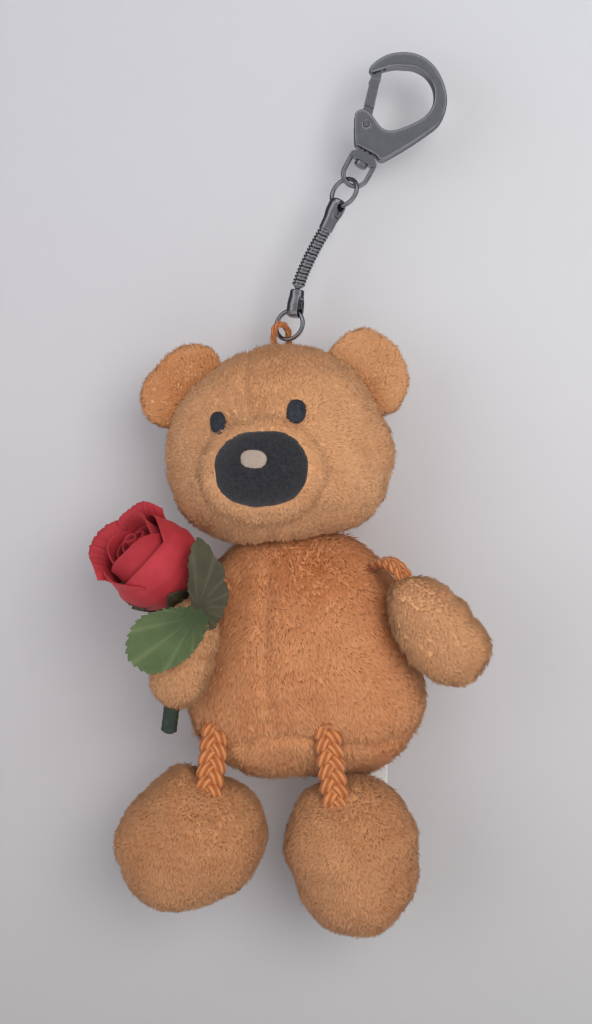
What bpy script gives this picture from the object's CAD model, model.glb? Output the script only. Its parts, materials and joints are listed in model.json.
import json
import math
import bpy
import numpy as np
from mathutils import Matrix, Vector

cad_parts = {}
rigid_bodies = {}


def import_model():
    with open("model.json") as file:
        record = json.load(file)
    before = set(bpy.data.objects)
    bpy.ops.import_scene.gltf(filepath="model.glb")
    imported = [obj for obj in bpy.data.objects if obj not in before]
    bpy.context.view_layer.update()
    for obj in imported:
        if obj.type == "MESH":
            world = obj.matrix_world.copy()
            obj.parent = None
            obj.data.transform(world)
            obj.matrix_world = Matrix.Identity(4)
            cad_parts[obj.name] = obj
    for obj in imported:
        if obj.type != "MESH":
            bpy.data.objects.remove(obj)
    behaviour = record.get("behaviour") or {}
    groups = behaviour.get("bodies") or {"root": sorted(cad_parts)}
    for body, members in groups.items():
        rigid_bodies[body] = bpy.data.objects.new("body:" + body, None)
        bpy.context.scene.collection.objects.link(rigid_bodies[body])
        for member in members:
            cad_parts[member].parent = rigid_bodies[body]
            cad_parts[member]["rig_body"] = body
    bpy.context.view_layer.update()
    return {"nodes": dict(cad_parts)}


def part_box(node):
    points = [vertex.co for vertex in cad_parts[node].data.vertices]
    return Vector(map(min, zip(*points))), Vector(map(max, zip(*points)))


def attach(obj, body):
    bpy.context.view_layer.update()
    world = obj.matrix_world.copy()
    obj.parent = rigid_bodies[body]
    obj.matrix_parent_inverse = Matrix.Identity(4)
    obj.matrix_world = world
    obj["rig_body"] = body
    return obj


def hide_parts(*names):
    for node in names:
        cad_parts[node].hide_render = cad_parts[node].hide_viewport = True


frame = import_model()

MM = 0.001
RNG = np.random.default_rng(11)
NODES = frame["nodes"]
scene = bpy.context.scene
scene.view_settings.view_transform = "Standard"
scene.view_settings.look = "None"


# ------------------------------------------------------------------ small maths
def unit(v):
    v = np.asarray(v, float)
    return v / np.linalg.norm(v)


def rows_unit(v):
    return v / np.maximum(np.linalg.norm(v, axis=1), 1e-9)[:, None]


_wave = np.random.default_rng(5)
WAVE_K = rows_unit(_wave.normal(size=(24, 3)))
WAVE_P = _wave.uniform(0, 6.283, 24)
WAVE_S = _wave.uniform(0.7, 1.5, 24)


def lump(P, size, shift=0):
    """Smooth noise in about -1..1 with lumps of the given size in mm."""
    out = np.zeros(len(P))
    for i in range(8):
        j = (i + shift * 5) % 24
        out += np.sin(P @ WAVE_K[j] * (2 * math.pi / (size * 2.0 * WAVE_S[j])) + WAVE_P[(j + shift) % 24])
    return out / 4.0


def polar_deg(table, scale, grow=0.0):
    """Closed outline radius in mm as a function of the angle, from a table of degrees to length."""
    a = np.array(sorted(table))
    r = np.array([table[x] for x in a], float) * scale + grow
    grid = np.arange(0, 360, 1.0)
    v = np.interp(grid, a, r, period=360)
    k = np.exp(-0.5 * (np.arange(-18, 19) / 5.0) ** 2)
    k /= k.sum()
    v = np.convolve(np.concatenate([v[-18:], v, v[:18]]), k, "valid")
    return lambda th: np.interp(np.degrees(th) % 360, grid, v, period=360)


def polar_points(centre, pts, grow=0.0):
    t = {}
    for x, z in pts:
        dx, dz = x - centre[0], z - centre[1]
        t[math.degrees(math.atan2(dz, dx)) % 360] = math.hypot(dx, dz)
    return polar_deg(t, 1.0, grow)


# ------------------------------------------------------------------ mesh making
def make_mesh(name, V, F, uv=None, attrs=None, smooth=True):
    """V in mm, F an (n, 3) or (n, 4) array, uv per face corner."""
    me = bpy.data.meshes.new(name)
    V = np.asarray(V, np.float32) * np.float32(MM)
    F = np.asarray(F, np.int32)
    n, k = F.shape
    me.vertices.add(len(V))
    me.vertices.foreach_set("co", V.ravel())
    me.loops.add(n * k)
    me.loops.foreach_set("vertex_index", F.ravel())
    me.polygons.add(n)
    me.polygons.foreach_set("loop_start", np.arange(0, n * k, k, dtype=np.int32))
    me.polygons.foreach_set("use_smooth", np.full(n, smooth, dtype=bool))
    me.update(calc_edges=True)
    if uv is None:
        P = np.asarray(V)
        lo, hi = P.min(0), P.max(0)
        q = (P - lo) / np.maximum(hi - lo, 1e-9)
        uv = np.stack([q[:, 0], q[:, 2]], 1)[F.ravel()]
    layer = me.uv_layers.new(name="OFBake")
    layer.data.foreach_set("uv", np.asarray(uv, np.float32).ravel())
    for key, val in (attrs or {}).items():
        val = np.asarray(val, np.float32)
        if val.ndim == 2:
            at = me.attributes.new(key, "FLOAT_VECTOR", "POINT")
            at.data.foreach_set("vector", val.ravel())
        else:
            at = me.attributes.new(key, "FLOAT", "POINT")
            at.data.foreach_set("value", val)
    ob = bpy.data.objects.new(name, me)
    scene.collection.objects.link(ob)
    return ob


def cube_sphere(n):
    """Unit directions, quads and an unwrapped map of a cube blown up to a sphere."""
    t = np.tan(np.linspace(-math.pi / 4, math.pi / 4, n + 1))
    V, F, UV = [], [], []
    base = 0
    cell = 0
    for a in range(3):
        for s in (1, -1):
            u, v = (a + 1) % 3, (a + 2) % 3
            P = np.zeros((n + 1, n + 1, 3))
            P[:, :, a] = s
            P[:, :, u] = t[:, None]
            P[:, :, v] = t[None, :]
            V.append(P.reshape(-1, 3))
            i, j = np.meshgrid(np.arange(n), np.arange(n), indexing="ij")
            q = np.stack([i * (n + 1) + j, (i + 1) * (n + 1) + j, (i + 1) * (n + 1) + j + 1, i * (n + 1) + j + 1], -1).reshape(-1, 4)
            c = np.stack([np.stack([i, j], -1), np.stack([i + 1, j], -1), np.stack([i + 1, j + 1], -1), np.stack([i, j + 1], -1)], -2).reshape(-1, 4, 2) / n
            if s < 0:
                q, c = q[:, ::-1], c[:, ::-1]
            ox, oy = (cell % 3) / 3, (cell // 3) / 2
            c = c * np.array([0.31, 0.47]) + np.array([ox + 0.01, oy + 0.015])
            F.append(q + base)
            UV.append(c)
            base += (n + 1) ** 2
            cell += 1
    V, F, UV = np.concatenate(V), np.concatenate(F), np.concatenate(UV)
    V = rows_unit(V)
    key = np.round(V * 1e5).astype(np.int64)
    _, first, back = np.unique(key, axis=0, return_index=True, return_inverse=True)
    return V[first], back.reshape(-1)[F], UV


def vertex_normals(V, F):
    a, b, c, d = (V[F[:, i]] for i in range(4))
    n = np.cross(c - a, d - b)
    out = np.zeros_like(V)
    for i in range(4):
        np.add.at(out, F[:, i], n)
    return rows_unit(out)


def puff(n, centre, outline, front, back, shape=None):
    """A stuffed cloth bag: the outline in XZ, and its depth before and behind the centre plane."""
    D, F, UV = cube_sphere(n)
    s = np.hypot(D[:, 0], D[:, 2])
    th = np.arctan2(D[:, 2], D[:, 0])
    r = outline(th)
    V = np.empty_like(D)
    V[:, 0] = centre[0] + r * s * np.cos(th)
    V[:, 2] = centre[2] + r * s * np.sin(th)
    V[:, 1] = centre[1] + np.where(D[:, 1] < 0, front, back) * D[:, 1]
    if shape is not None:
        V = shape(V, D, s, th)
    return V, F, UV


def grid_uv(nu, nv, closed_u, box=(0, 0, 1, 1)):
    """Quads and map of a grid of nu rows by nv columns, rows first; columns wrap when closed."""
    cols = nv if closed_u else nv - 1
    i, j = np.meshgrid(np.arange(nu - 1), np.arange(cols), indexing="ij")
    j2 = (j + 1) % nv
    q = np.stack([i * nv + j, i * nv + j2, (i + 1) * nv + j2, (i + 1) * nv + j], -1).reshape(-1, 4)
    u = np.stack([j, j + 1, j + 1, j], -1).reshape(-1, 4) / cols
    v = np.stack([i, i, i + 1, i + 1], -1).reshape(-1, 4) / (nu - 1)
    uv = np.stack([box[0] + u * (box[2] - box[0]), box[1] + v * (box[3] - box[1])], -1)
    return q, uv


def sweep(path, ra, rb, flat_dir, m=16, ply=0.0, plies=5, twist=0.0, box=(0, 0, 1, 1)):
    """Tube of half-width ra and half-thickness rb along a path, with ends closed; the width lies along flat_dir."""
    path = np.asarray(path, float)
    n = len(path)
    T = np.gradient(path, axis=0)
    T = rows_unit(T)
    flat = np.broadcast_to(np.asarray(flat_dir, float), (n, 3))
    W = rows_unit(flat - (flat * T).sum(1)[:, None] * T)
    B = np.cross(T, W)
    ra = np.broadcast_to(ra, (n,)).astype(float)
    rb = np.broadcast_to(rb, (n,)).astype(float)
    length = np.concatenate([[0], np.cumsum(np.linalg.norm(np.diff(path, axis=0), axis=1))])
    ph = np.linspace(0, 2 * math.pi, m, endpoint=False)
    rad = 1 + ply * np.cos(plies * ph[None, :] + twist * length[:, None])
    V = path[:, None, :] + (W[:, None, :] * (ra[:, None] * np.cos(ph))[:, :, None] + B[:, None, :] * (rb[:, None] * np.sin(ph))[:, :, None]) * rad[:, :, None]
    V = V.reshape(-1, 3)
    F, UV = grid_uv(n, m, True, box)
    caps = np.array([path[0], path[-1]])
    k = len(V)
    V = np.concatenate([V, caps])
    j = np.arange(0, m, 2)
    f0 = np.stack([np.full(len(j), k), (j + 2) % m, (j + 1) % m, j], -1)
    e = (n - 1) * m
    f1 = np.stack([np.full(len(j), k + 1), e + j, e + (j + 1) % m, e + (j + 2) % m], -1)
    F = np.concatenate([F, f0, f1])
    UV = np.concatenate([UV, np.tile(np.array([[[box[0], box[1]]] * 4]), (len(f0) + len(f1), 1, 1))])
    return V, F, UV


def join(parts):
    V, F, UV, A = [], [], [], []
    base = 0
    for p in parts:
        V.append(p[0]); F.append(p[1] + base); UV.append(p[2])
        if len(p) > 3:
            A.append(p[3])
        base += len(p[0])
    return np.concatenate(V), np.concatenate(F), np.concatenate(UV), (np.concatenate(A) if A else None)


def sheet(P, N, thick, nu, nv, box=(0, 0, 1, 1)):
    """Closed thin sheet from a grid of points (nu*nv) and their normals."""
    h = thick / 2
    top, bot = P + N * h, P - N * h
    F, UV = grid_uv(nu, nv, False, box)
    k = len(P)
    V = np.concatenate([top, bot])
    Fb = F[:, ::-1] + k
    UVb = UV[:, ::-1]
    rim = list(range(nv)) + [i * nv + nv - 1 for i in range(1, nu)] + [(nu - 1) * nv + j for j in range(nv - 2, -1, -1)] + [i * nv for i in range(nu - 2, 0, -1)]
    rim = np.array(rim)
    nxt = np.roll(rim, -1)
    Fr = np.stack([nxt, rim, rim + k, nxt + k], -1)
    U = np.zeros((k, 2))
    np.put_along_axis(U, np.repeat(F.reshape(-1, 1), 2, 1), UV.reshape(-1, 2), 0)
    UVr = np.stack([U[nxt], U[rim], U[rim], U[nxt]], 1)
    return V, np.concatenate([F, Fb, Fr]), np.concatenate([UV, UVb, UVr])


def grid_normals(P, nu, nv):
    G = P.reshape(nu, nv, 3)
    N = np.cross(np.gradient(G, axis=1), np.gradient(G, axis=0)).reshape(-1, 3)
    return rows_unit(N)


# ------------------------------------------------------------------ materials
def nodes_of(name):
    m = bpy.data.materials.new(name)
    m.use_nodes = True
    nt = m.node_tree
    b = nt.nodes["Principled BSDF"]
    return m, nt, b


def lin(rgb):
    return tuple(((c / 255) / 12.92 if c / 255 <= 0.04045 else ((c / 255 + 0.055) / 1.055) ** 2.4) for c in rgb) + (1.0,)


def ramp(nt, stops, src):
    r = nt.nodes.new("ShaderNodeValToRGB")
    while len(r.color_ramp.elements) < len(stops):
        r.color_ramp.elements.new(0.5)
    for e, (p, c) in zip(r.color_ramp.elements, stops):
        e.position = p
        e.color = c
    nt.links.new(src, r.inputs["Fac"])
    return r.outputs["Color"]


def noise(nt, scale, detail=3.0, rough=0.6):
    tc = nt.nodes.new("ShaderNodeTexCoord")
    n = nt.nodes.new("ShaderNodeTexNoise")
    n.inputs["Scale"].default_value = scale
    n.inputs["Detail"].default_value = detail
    n.inputs["Roughness"].default_value = rough
    nt.links.new(tc.outputs["Object"], n.inputs["Vector"])
    return n.outputs["Fac"]


def attr(nt, name):
    a = nt.nodes.new("ShaderNodeAttribute")
    a.attribute_name = name
    return a.outputs["Fac"]


def mixc(nt, fac, a, b, mode="MIX"):
    m = nt.nodes.new("ShaderNodeMix")
    m.data_type = "RGBA"
    m.blend_type = mode
    for val, sock in ((fac, m.inputs[0]), (a, m.inputs[6]), (b, m.inputs[7])):
        if hasattr(val, "is_output"):
            nt.links.new(val, sock)
        else:
            sock.default_value = val
    return m.outputs[2]


def bump(nt, b, height, strength=0.4, dist=0.0003):
    n = nt.nodes.new("ShaderNodeBump")
    n.inputs["Strength"].default_value = strength
    n.inputs["Distance"].default_value = dist
    nt.links.new(height, n.inputs["Height"])
    nt.links.new(n.outputs["Normal"], b.inputs["Normal"])


def pile_material(name, root, mid, tip, dark):
    """Pile fibre: deeper at the root, paler at the tip, each fibre with its own tint."""
    m, nt, b = nodes_of(name)
    along = ramp(nt, [(0.0, lin(root)), (0.45, lin(mid)), (1.0, lin(tip))], attr(nt, "along"))
    tint = ramp(nt, [(0.0, lin(dark)), (1.0, (1, 1, 1, 1))], attr(nt, "tint"))
    nt.links.new(mixc(nt, 1.0, along, tint, "MULTIPLY"), b.inputs["Base Color"])
    b.inputs["Roughness"].default_value = 0.75
    b.inputs["Specular IOR Level"].default_value = 0.10
    b.inputs["Sheen Weight"].default_value = 0.25
    b.inputs["Sheen Roughness"].default_value = 0.5
    b.inputs["Sheen Tint"].default_value = lin((255, 226, 196))
    # fibres take the light mostly as the pile's surface does, so a short pile reads as one soft nap
    a = nt.nodes.new("ShaderNodeAttribute")
    a.attribute_name = "nap_normal"
    vt = nt.nodes.new("ShaderNodeVectorTransform")
    vt.vector_type = "NORMAL"
    vt.convert_from, vt.convert_to = "OBJECT", "WORLD"
    nt.links.new(a.outputs["Vector"], vt.inputs[0])
    geo = nt.nodes.new("ShaderNodeNewGeometry")
    mx = nt.nodes.new("ShaderNodeMix")
    mx.data_type = "VECTOR"
    mx.inputs[0].default_value = 0.10
    nt.links.new(vt.outputs[0], mx.inputs[4])
    nt.links.new(geo.outputs["Normal"], mx.inputs[5])
    # at the outline the nap scatters light round the edge: its normal never turns from the viewer
    facing = nt.nodes.new("ShaderNodeVectorMath")
    facing.operation = "DOT_PRODUCT"
    nt.links.new(mx.outputs[1], facing.inputs[0])
    nt.links.new(geo.outputs["Incoming"], facing.inputs[1])
    lack = nt.nodes.new("ShaderNodeMath")
    lack.operation = "SUBTRACT"
    lack.use_clamp = True
    lack.inputs[0].default_value = 0.40
    nt.links.new(facing.outputs["Value"], lack.inputs[1])
    push = nt.nodes.new("ShaderNodeVectorMath")
    push.operation = "SCALE"
    nt.links.new(geo.outputs["Incoming"], push.inputs[0])
    nt.links.new(lack.outputs[0], push.inputs["Scale"])
    add = nt.nodes.new("ShaderNodeVectorMath")
    add.operation = "ADD"
    nt.links.new(mx.outputs[1], add.inputs[0])
    nt.links.new(push.outputs[0], add.inputs[1])
    nz = nt.nodes.new("ShaderNodeVectorMath")
    nz.operation = "NORMALIZE"
    nt.links.new(add.outputs[0], nz.inputs[0])
    nt.links.new(nz.outputs[0], b.inputs["Normal"])
    return m


def cloth_material(name, base, deep):
    """Backing of the pile: the same colour, deeper, darker still along the seams."""
    m, nt, b = nodes_of(name)
    c = ramp(nt, [(0.3, lin(deep)), (0.7, lin(base))], noise(nt, 900, 5))
    c = mixc(nt, attr(nt, "seam"), c, lin(tuple(x * 0.84 for x in deep)))
    nt.links.new(c, b.inputs["Base Color"])
    b.inputs["Roughness"].default_value = 0.95
    b.inputs["Specular IOR Level"].default_value = 0.1
    bump(nt, b, noise(nt, 2600, 4), 0.5, 0.0002)
    return m


def plain_material(name, c1, c2, scale, rough, metal=0.0, spec=0.5, bump_scale=None, bump_strength=0.3, bump_dist=0.0001, sheen=0.0):
    m, nt, b = nodes_of(name)
    nt.links.new(ramp(nt, [(0.3, lin(c1)), (0.7, lin(c2))], noise(nt, scale, 4)), b.inputs["Base Color"])
    b.inputs["Roughness"].default_value = rough
    b.inputs["Metallic"].default_value = metal
    b.inputs["Specular IOR Level"].default_value = spec
    b.inputs["Sheen Weight"].default_value = sheen
    if bump_scale:
        bump(nt, b, noise(nt, bump_scale, 4), bump_strength, bump_dist)
    return m


M_FUR_HEAD = pile_material("pile_head", (214, 161, 117), (217, 164, 121), (222, 172, 131), (222, 196, 172))
M_FUR_BODY = pile_material("pile_body", (210, 147, 102), (213, 151, 106), (220, 161, 118), (214, 178, 150))
M_FUR_LIMB = pile_material("pile_limb", (195, 141, 99), (198, 145, 104), (205, 154, 115), (218, 192, 170))
M_FUR_PAW = pile_material("pile_paw", (204, 152, 110), (207, 156, 114), (214, 166, 127), (218, 192, 170))
M_CLOTH_HEAD = cloth_material("backing_head", (215, 162, 118), (211, 156, 112))
M_CLOTH_BODY = cloth_material("backing_body", (211, 148, 103), (206, 141, 97))
M_CLOTH_LIMB = cloth_material("backing_limb", (196, 142, 100), (191, 136, 94))
M_STUFF = plain_material("stuffing", (216, 214, 206), (236, 234, 228), 600, 0.95, spec=0.1, bump_scale=1500)
M_GUN = plain_material("gunmetal", (146, 147, 151), (156, 157, 161), 700, 0.24, metal=1.0, bump_scale=1800, bump_strength=0.05)
M_GUN_CHAIN = plain_material("gunmetal_chain", (150, 151, 155), (164, 165, 169), 900, 0.24, metal=1.0, bump_scale=2500, bump_strength=0.05)
M_SPRING = plain_material("spring_steel", (150, 150, 152), (176, 176, 178), 800, 0.28, metal=1.0)
M_FELT = plain_material("felt_black", (32, 32, 36), (50, 50, 54), 1400, 0.96, spec=0.10, bump_scale=3200, bump_strength=0.7, bump_dist=0.0003, sheen=0.22)
M_EYE = plain_material("felt_eye", (30, 33, 40), (50, 54, 62), 1200, 0.62, spec=0.4, bump_scale=3000, bump_strength=0.5, bump_dist=0.0002)
M_CREAM = plain_material("felt_cream", (154, 138, 124), (166, 151, 139), 1400, 0.95, spec=0.1, bump_scale=3000, bump_strength=0.8, bump_dist=0.0002)
M_STEM_TAPE = plain_material("stem_tape", (34, 44, 38), (50, 60, 50), 700, 0.55, spec=0.4, bump_scale=900)
M_STEM = plain_material("stem", (96, 56, 66), (122, 72, 80), 500, 0.6, spec=0.3)
M_LABEL = plain_material("label", (196, 196, 194), (222, 222, 220), 1800, 0.8, spec=0.2, bump_scale=3500)


def cord_material():
    """Satin yarn: fine plies wound round each strand, light on the crest and deep in the valley."""
    m, nt, b = nodes_of("satin_cord")
    uv = nt.nodes.new("ShaderNodeUVMap")
    uv.uv_map = "OFBake"
    w = nt.nodes.new("ShaderNodeTexWave")
    w.wave_type = "BANDS"
    w.bands_direction = "X"
    w.inputs["Scale"].default_value = 5.5
    w.inputs["Distortion"].default_value = 1.2
    nt.links.new(uv.outputs["UV"], w.inputs["Vector"])
    ply = ramp(nt, [(0.0, lin((150, 80, 36))), (0.5, lin((172, 100, 52))), (1.0, lin((194, 130, 76)))], w.outputs["Fac"])
    c = mixc(nt, attr(nt, "deep"), ply, lin((128, 62, 28)))
    nt.links.new(c, b.inputs["Base Color"])
    b.inputs["Roughness"].default_value = 0.42
    b.inputs["Specular IOR Level"].default_value = 0.45
    b.inputs["Sheen Weight"].default_value = 0.2
    bump(nt, b, w.outputs["Fac"], 0.5, 0.0002)
    return m


M_CORD = cord_material()


def petal_material():
    m, nt, b = nodes_of("petal")
    c = ramp(nt, [(0.25, lin((150, 38, 46))), (0.75, lin((174, 52, 60)))], noise(nt, 160, 5))
    c = mixc(nt, attr(nt, "deep"), c, lin((110, 20, 30)))
    nt.links.new(c, b.inputs["Base Color"])
    b.inputs["Roughness"].default_value = 0.62
    b.inputs["Specular IOR Level"].default_value = 0.35
    b.inputs["Sheen Weight"].default_value = 0.25
    b.inputs["Sheen Tint"].default_value = lin((255, 120, 120))
    bump(nt, b, noise(nt, 2600, 3), 0.35, 0.00012)
    return m


def leaf_material(name, light, dark, vein):
    m, nt, b = nodes_of(name)
    c = ramp(nt, [(0.25, lin(dark)), (0.75, lin(light))], noise(nt, 210, 5))
    c = mixc(nt, attr(nt, "vein"), c, lin(vein))
    c = mixc(nt, attr(nt, "shade"), c, lin(tuple(x * 0.62 for x in dark)))
    nt.links.new(c, b.inputs["Base Color"])
    b.inputs["Roughness"].default_value = 0.66
    b.inputs["Specular IOR Level"].default_value = 0.3
    bump(nt, b, noise(nt, 2400, 3), 0.4, 0.00012)
    return m


M_PETAL = petal_material()
M_LEAF = leaf_material("leaf", (88, 102, 68), (70, 84, 52), (104, 116, 80))
M_LEAF_DARK = leaf_material("leaf_dark", (76, 72, 55), (58, 56, 43), (86, 86, 66))


def dress(ob, mat, body, slot, *replaces):
    ob.data.materials.clear()
    ob.data.materials.append(mat)
    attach(ob, body)
    if replaces:
        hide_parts(*replaces)
    return ob


# ------------------------------------------------------------------ pile
def pile(name, V, F, N, count, lay, length, mat, body, slot, width=0.36, lift=26.0, side=0, centre_y=0.0, keep=None, clump=2.6, jitter=0.24, shade=None):
    """Closed tapered fibres standing on the cloth: 3-sided, bent towards the lay of the pile."""
    T = np.concatenate([F[:, [0, 1, 2]], F[:, [0, 2, 3]]])
    a, b, c = V[T[:, 0]], V[T[:, 1]], V[T[:, 2]]
    area = np.linalg.norm(np.cross(b - a, c - a), axis=1)
    mid = (a + b + c) / 3
    w = area.copy()
    if side:
        w = np.where((mid[:, 1] - centre_y) * side > 0, w, 0)
    if keep is not None:
        w = w * keep(mid)
    w /= w.sum()
    pick = RNG.choice(len(T), size=count, p=w)
    r1, r2 = RNG.uniform(size=(2, count))
    s = np.sqrt(r1)
    w0, w1, w2 = 1 - s, s * (1 - r2), s * r2
    P = a[pick] * w0[:, None] + b[pick] * w1[:, None] + c[pick] * w2[:, None]
    Nn = rows_unit(N[T[pick, 0]] * w0[:, None] + N[T[pick, 1]] * w1[:, None] + N[T[pick, 2]] * w2[:, None])
    L = lay(P)
    wander = np.stack([lump(P, clump, 0), lump(P, clump, 1), lump(P, clump, 2)], 1)
    L = rows_unit(L) + 0.34 * wander + jitter * RNG.normal(size=(count, 3))
    L = rows_unit(L - (L * Nn).sum(1)[:, None] * Nn)
    ang = np.radians(lift + 9 * RNG.normal(size=count) + 9 * lump(P, clump * 1.3, 3))
    ang = np.clip(ang, np.radians(10), np.radians(75))
    ln = length * (0.72 + 0.5 * RNG.uniform(size=count)) * (1 + 0.10 * lump(P, 5, 1))
    d0 = Nn * np.sin(ang)[:, None] + L * np.cos(ang)[:, None]
    ang1 = ang * 0.55
    d1 = Nn * np.sin(ang1)[:, None] + L * np.cos(ang1)[:, None]
    root = P - Nn * 0.12
    m = root + d0 * (ln * 0.5)[:, None]
    tip = m + d1 * (ln * 0.5)[:, None]
    S = rows_unit(np.cross(Nn, d0))
    U = np.cross(S, d0)
    wd = width * (0.8 + 0.4 * RNG.uniform(size=count))
    vs = []
    for centre, k in ((root, 1.0), (m, 0.72)):
        for q in (90, 210, 330):
            ca, sa = math.cos(math.radians(q)), math.sin(math.radians(q))
            vs.append(centre + (S * ca * 0.5 + U * sa * 0.36) * (wd * k)[:, None])
    vs.append(tip)
    VV = np.stack(vs, 1).reshape(-1, 3)
    o = (np.arange(count) * 7)[:, None]
    pat = np.array([[0, 2, 1], [0, 1, 4], [0, 4, 3], [1, 2, 5], [1, 5, 4], [2, 0, 3], [2, 3, 5], [3, 4, 6], [4, 5, 6], [5, 3, 6]])
    FF = (o[:, None, :] + pat[None]).reshape(-1, 3)
    tint = np.clip(0.68 + 0.12 * lump(P, 3.4, 2) + 0.10 * lump(P, 12, 1) + 0.05 * RNG.normal(size=count), 0, 1)
    if shade is not None:
        tint = np.clip(tint + shade(P), 0, 1)
    along = np.tile([0, 0, 0, 0.5, 0.5, 0.5, 1.0], count)
    tv = np.repeat(tint, 7)
    uv = np.stack([0.02 + 0.96 * tv[FF.ravel()], 0.02 + 0.96 * along[FF.ravel()]], 1)
    ob = make_mesh(name, VV, FF, uv, {"tint": tv, "along": along, "nap_normal": np.repeat(Nn, 7, axis=0)}, smooth=True)
    ob.visible_shadow = False
    return dress(ob, mat, body, slot)


def skin(name, V, F, UV, seam, mat, body, slot, *replaces):
    ob = make_mesh(name, V, F, UV, {"seam": seam})
    return dress(ob, mat, body, slot, *replaces)


def stuffing(name, V, F, N, inset, body, node, step=1):
    """Fibre filling: the bag's inside, lumpier, standing off the cloth."""
    W = V - N * inset + N * (0.25 * lump(V, 3.0, 2))[:, None]
    q = F
    ob = make_mesh(name, W, q, None)
    return dress(ob, M_STUFF, body, "stuffing", node)


def px(x, y, depth):
    """A point on the plane y = depth given in the front view's grid of 0.23 mm squares at the reference plane."""
    k = 0.23 * (depth + 330) / 320
    return np.array([-26.09 + (x - 296) * k, depth, -98.43 - (y - 512) * k])


def pk(depth):
    return 0.23 * (depth + 330) / 320


def near_line(P, pts, width):
    """Bell of distance in XZ to a polyline."""
    best = np.full(len(P), 1e9)
    q = P[:, [0, 2]]
    for a, b in zip(pts[:-1], pts[1:]):
        a, b = np.asarray(a, float), np.asarray(b, float)
        d = b - a
        t = np.clip(((q - a) @ d) / (d @ d), 0, 1)
        best = np.minimum(best, np.linalg.norm(q - a - t[:, None] * d, axis=1))
    return np.exp(-(best / width) ** 2)


FUR = 1.0

# ------------------------------------------------------------------ head
HC = px(281, 445, -10)
k = pk(-10)
head_px = [(396, 442), (395, 460), (391, 476), (379, 512), (365, 525), (345, 533), (322, 537), (292, 541), (262, 543), (238, 545), (215, 540), (197, 531), (181, 516), (171, 497), (165.5, 476), (165, 452), (167, 433), (172, 414), (181, 399), (199, 380), (219, 364), (245, 349), (270, 343.5), (299, 341), (322, 347), (345, 359), (357, 371), (374, 395), (386, 417)]
head_pts = [tuple(px(x, y, -10)[[0, 2]]) for x, y in head_px]
head_out = polar_points((HC[0], HC[2]), head_pts, -1.15)


def smax(a, b, s):
    return s * np.logaddexp(a / s, b / s)


def head_shape(V, D, s, th):
    x, z = V[:, 0], V[:, 2]
    f = D[:, 1] < 0
    front = -(V[:, 1] - HC[1])
    mx, mz = (x + 33.4) / 13.8, (z + 89.8) / 11.6
    q = 1 - mx ** 2 - mz ** 2
    muzzle = np.where(q > 0, 14.0 + 8.6 * np.sqrt(np.maximum(q, 0)), 14.0 + 11 * q)
    out = np.where(f, smax(front, muzzle, 3.4), front)
    bridge = 1.7 * np.exp(-(((x + 33.0) / 7.0) ** 2 + ((z + 78.5) / 6.0) ** 2))
    brow = 0.9 * np.exp(-(((x + 33.0) / 18.0) ** 2 + ((z + 69.0) / 6.0) ** 2))
    cheeks = 1.0 * np.exp(-(((x + 48.5) / 8.0) ** 2 + ((z + 93.0) / 8.0) ** 2)) + 1.0 * np.exp(-(((x + 14.0) / 9.0) ** 2 + ((z + 91.0) / 9.0) ** 2))
    out = np.where(f, out + bridge + brow + cheeks, out)
    V[:, 1] = HC[1] - out
    V += rows_unit(V - HC) * (0.30 * lump(V, 9, 0) + 0.12 * lump(V, 4, 1))[:, None]
    return V


V, F, UV = puff(84, HC, head_out, 17.2, 16.6, head_shape)
N = vertex_normals(V, F)
head_seam_pts = [(-36.6, -58.5), (-37.2, -70.0), (-36.2, -79.5)]
chin_seam_pts = [(-34.0, -99.0), (-31.0, -106.5)]
front = V[:, 1] < HC[1]
seam = (near_line(V, head_seam_pts, 0.55) + near_line(V, chin_seam_pts, 0.55)) * front
side_seam = np.exp(-((V[:, 1] - HC[1] - 2.0) / 0.5) ** 2)
seam = np.clip(seam + side_seam, 0, 1)
soft = (near_line(V, head_seam_pts, 1.2) + near_line(V, chin_seam_pts, 1.2)) * front + np.exp(-((V[:, 1] - HC[1] - 2.0) / 1.1) ** 2)
V = V - N * (0.42 * np.clip(soft, 0, 1))[:, None]
HEAD_V, HEAD_F = V, F
N = vertex_normals(V, F)
skin("head_cloth", V, F, UV, seam, M_CLOTH_HEAD, "head", "plush_head", "head_front_left_panel", "head_front_right_panel", "head_back_panel")


stuffing("head_stuffing", V, F, N, 2.2, "head", "head_filling")


def head_lay(P):
    d = P - np.array([-33.5, -26.0, -86.0])
    d = rows_unit(d)
    d[:, 2] -= 0.25
    d[:, 1] += 0.35
    return d


def head_keep(P):
    """No pile under the nose and the eyes, thinner along the seams."""
    g = np.ones(len(P))
    f = P[:, 1] < HC[1]
    nose = (((P[:, 0] + 33.6) / 9.9) ** 2 + ((P[:, 2] + 89.1) / 7.9) ** 2) < 1
    eye1 = (((P[:, 0] + 26.2) / 1.9) ** 2 + ((P[:, 2] + 76.3) / 2.4) ** 2) < 1
    eye2 = (((P[:, 0] + 43.2) / 1.5) ** 2 + ((P[:, 2] + 78.9) / 2.3) ** 2) < 1
    g[f & (nose | eye1 | eye2)] = 0
    g *= 1 - 0.75 * near_line(P, head_seam_pts, 0.5) * f
    return g


def tone(points):
    """Local lightening (+) and deepening (-) of the pile."""
    def f(P):
        out = np.zeros(len(P))
        for x, z, r, v in points:
            out += v * np.exp(-(((P[:, 0] - x) ** 2 + (P[:, 2] - z) ** 2) / r ** 2))
        return out
    return f


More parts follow.
